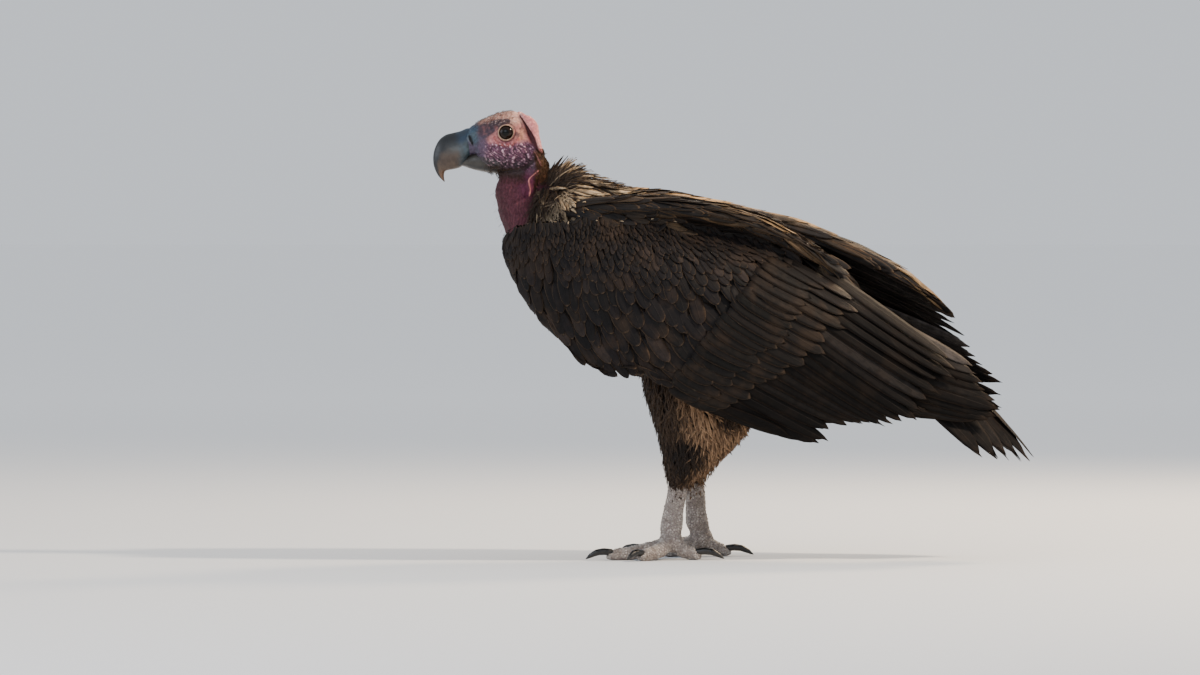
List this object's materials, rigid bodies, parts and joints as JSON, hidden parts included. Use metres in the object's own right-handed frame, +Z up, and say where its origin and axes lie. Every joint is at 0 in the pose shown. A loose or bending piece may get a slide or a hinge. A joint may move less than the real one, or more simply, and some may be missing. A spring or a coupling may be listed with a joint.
{
  "type": "lappet-faced vulture model",
  "caption": "Life-size still model of a standing lappet-faced vulture with folded wings, bare wrinkled head, heavy hooked bill, downy thighs and grey scaled feet.",
  "frame": {"origin": "centre of the bird's box in plan, on the floor that the toes stand on", "axes": "+Z up, bill towards -X, tail towards +X, the bird's left side towards -Y"},
  "size_m": [0.8998, 0.3326, 0.6715],
  "materials": {
    "plumage": "layered contour feathers, matt dark brown with paler brown edges",
    "flight_feathers": "stiff blackish brown vanes with fine barbs and worn tips, faint sheen",
    "ruff": "soft ragged lance-shaped feathers, brown with whitish and buff ones",
    "thigh_down": "dense short down, dark brown and tan",
    "bare_skin": "bare wrinkled pink to purple skin with short dark bristles",
    "cere": "smooth blue-grey skin at the base of the bill",
    "horn": "horn, blue-black above, greenish grey to brown on the sides, satin",
    "eye": "wet, nearly black eyeball",
    "scaled_skin": "grey-white skin in small scales",
    "claw": "black horn, satin"
  },
  "bodies": {
    "root": {"trunk": "plumage", "head": "bare_skin", "neck": "bare_skin", "ruff": "ruff", "cere": "cere", "bill_upper": "horn", "bill_lower": "horn", "eye_left": "eye", "lappet_left": "bare_skin", "eye_right": "eye", "lappet_right": "bare_skin", "wing_hand_left": "plumage", "wing_arm_left": "plumage", "wing_coverts_left": "plumage", "wing_hand_right": "plumage", "wing_arm_right": "plumage", "wing_coverts_right": "plumage", "secondaries_left": "flight_feathers", "primaries_left": "flight_feathers", "scapulars_left": "plumage", "secondaries_right": "flight_feathers", "primaries_right": "flight_feathers", "scapulars_right": "plumage", "tail": "flight_feathers", "thigh_left": "thigh_down", "tarsus_left": "scaled_skin", "foot_left": "scaled_skin", "toe_inner_left": "scaled_skin", "claw_inner_left": "claw", "toe_middle_left": "scaled_skin", "claw_middle_left": "claw", "toe_outer_left": "scaled_skin", "claw_outer_left": "claw", "toe_hind_left": "scaled_skin", "claw_hind_left": "claw", "thigh_right": "thigh_down", "tarsus_right": "scaled_skin", "foot_right": "scaled_skin", "toe_inner_right": "scaled_skin", "claw_inner_right": "claw", "toe_middle_right": "scaled_skin", "claw_middle_right": "claw", "toe_outer_right": "scaled_skin", "claw_outer_right": "claw", "toe_hind_right": "scaled_skin", "claw_hind_right": "claw"}
  },
  "joints": []
}
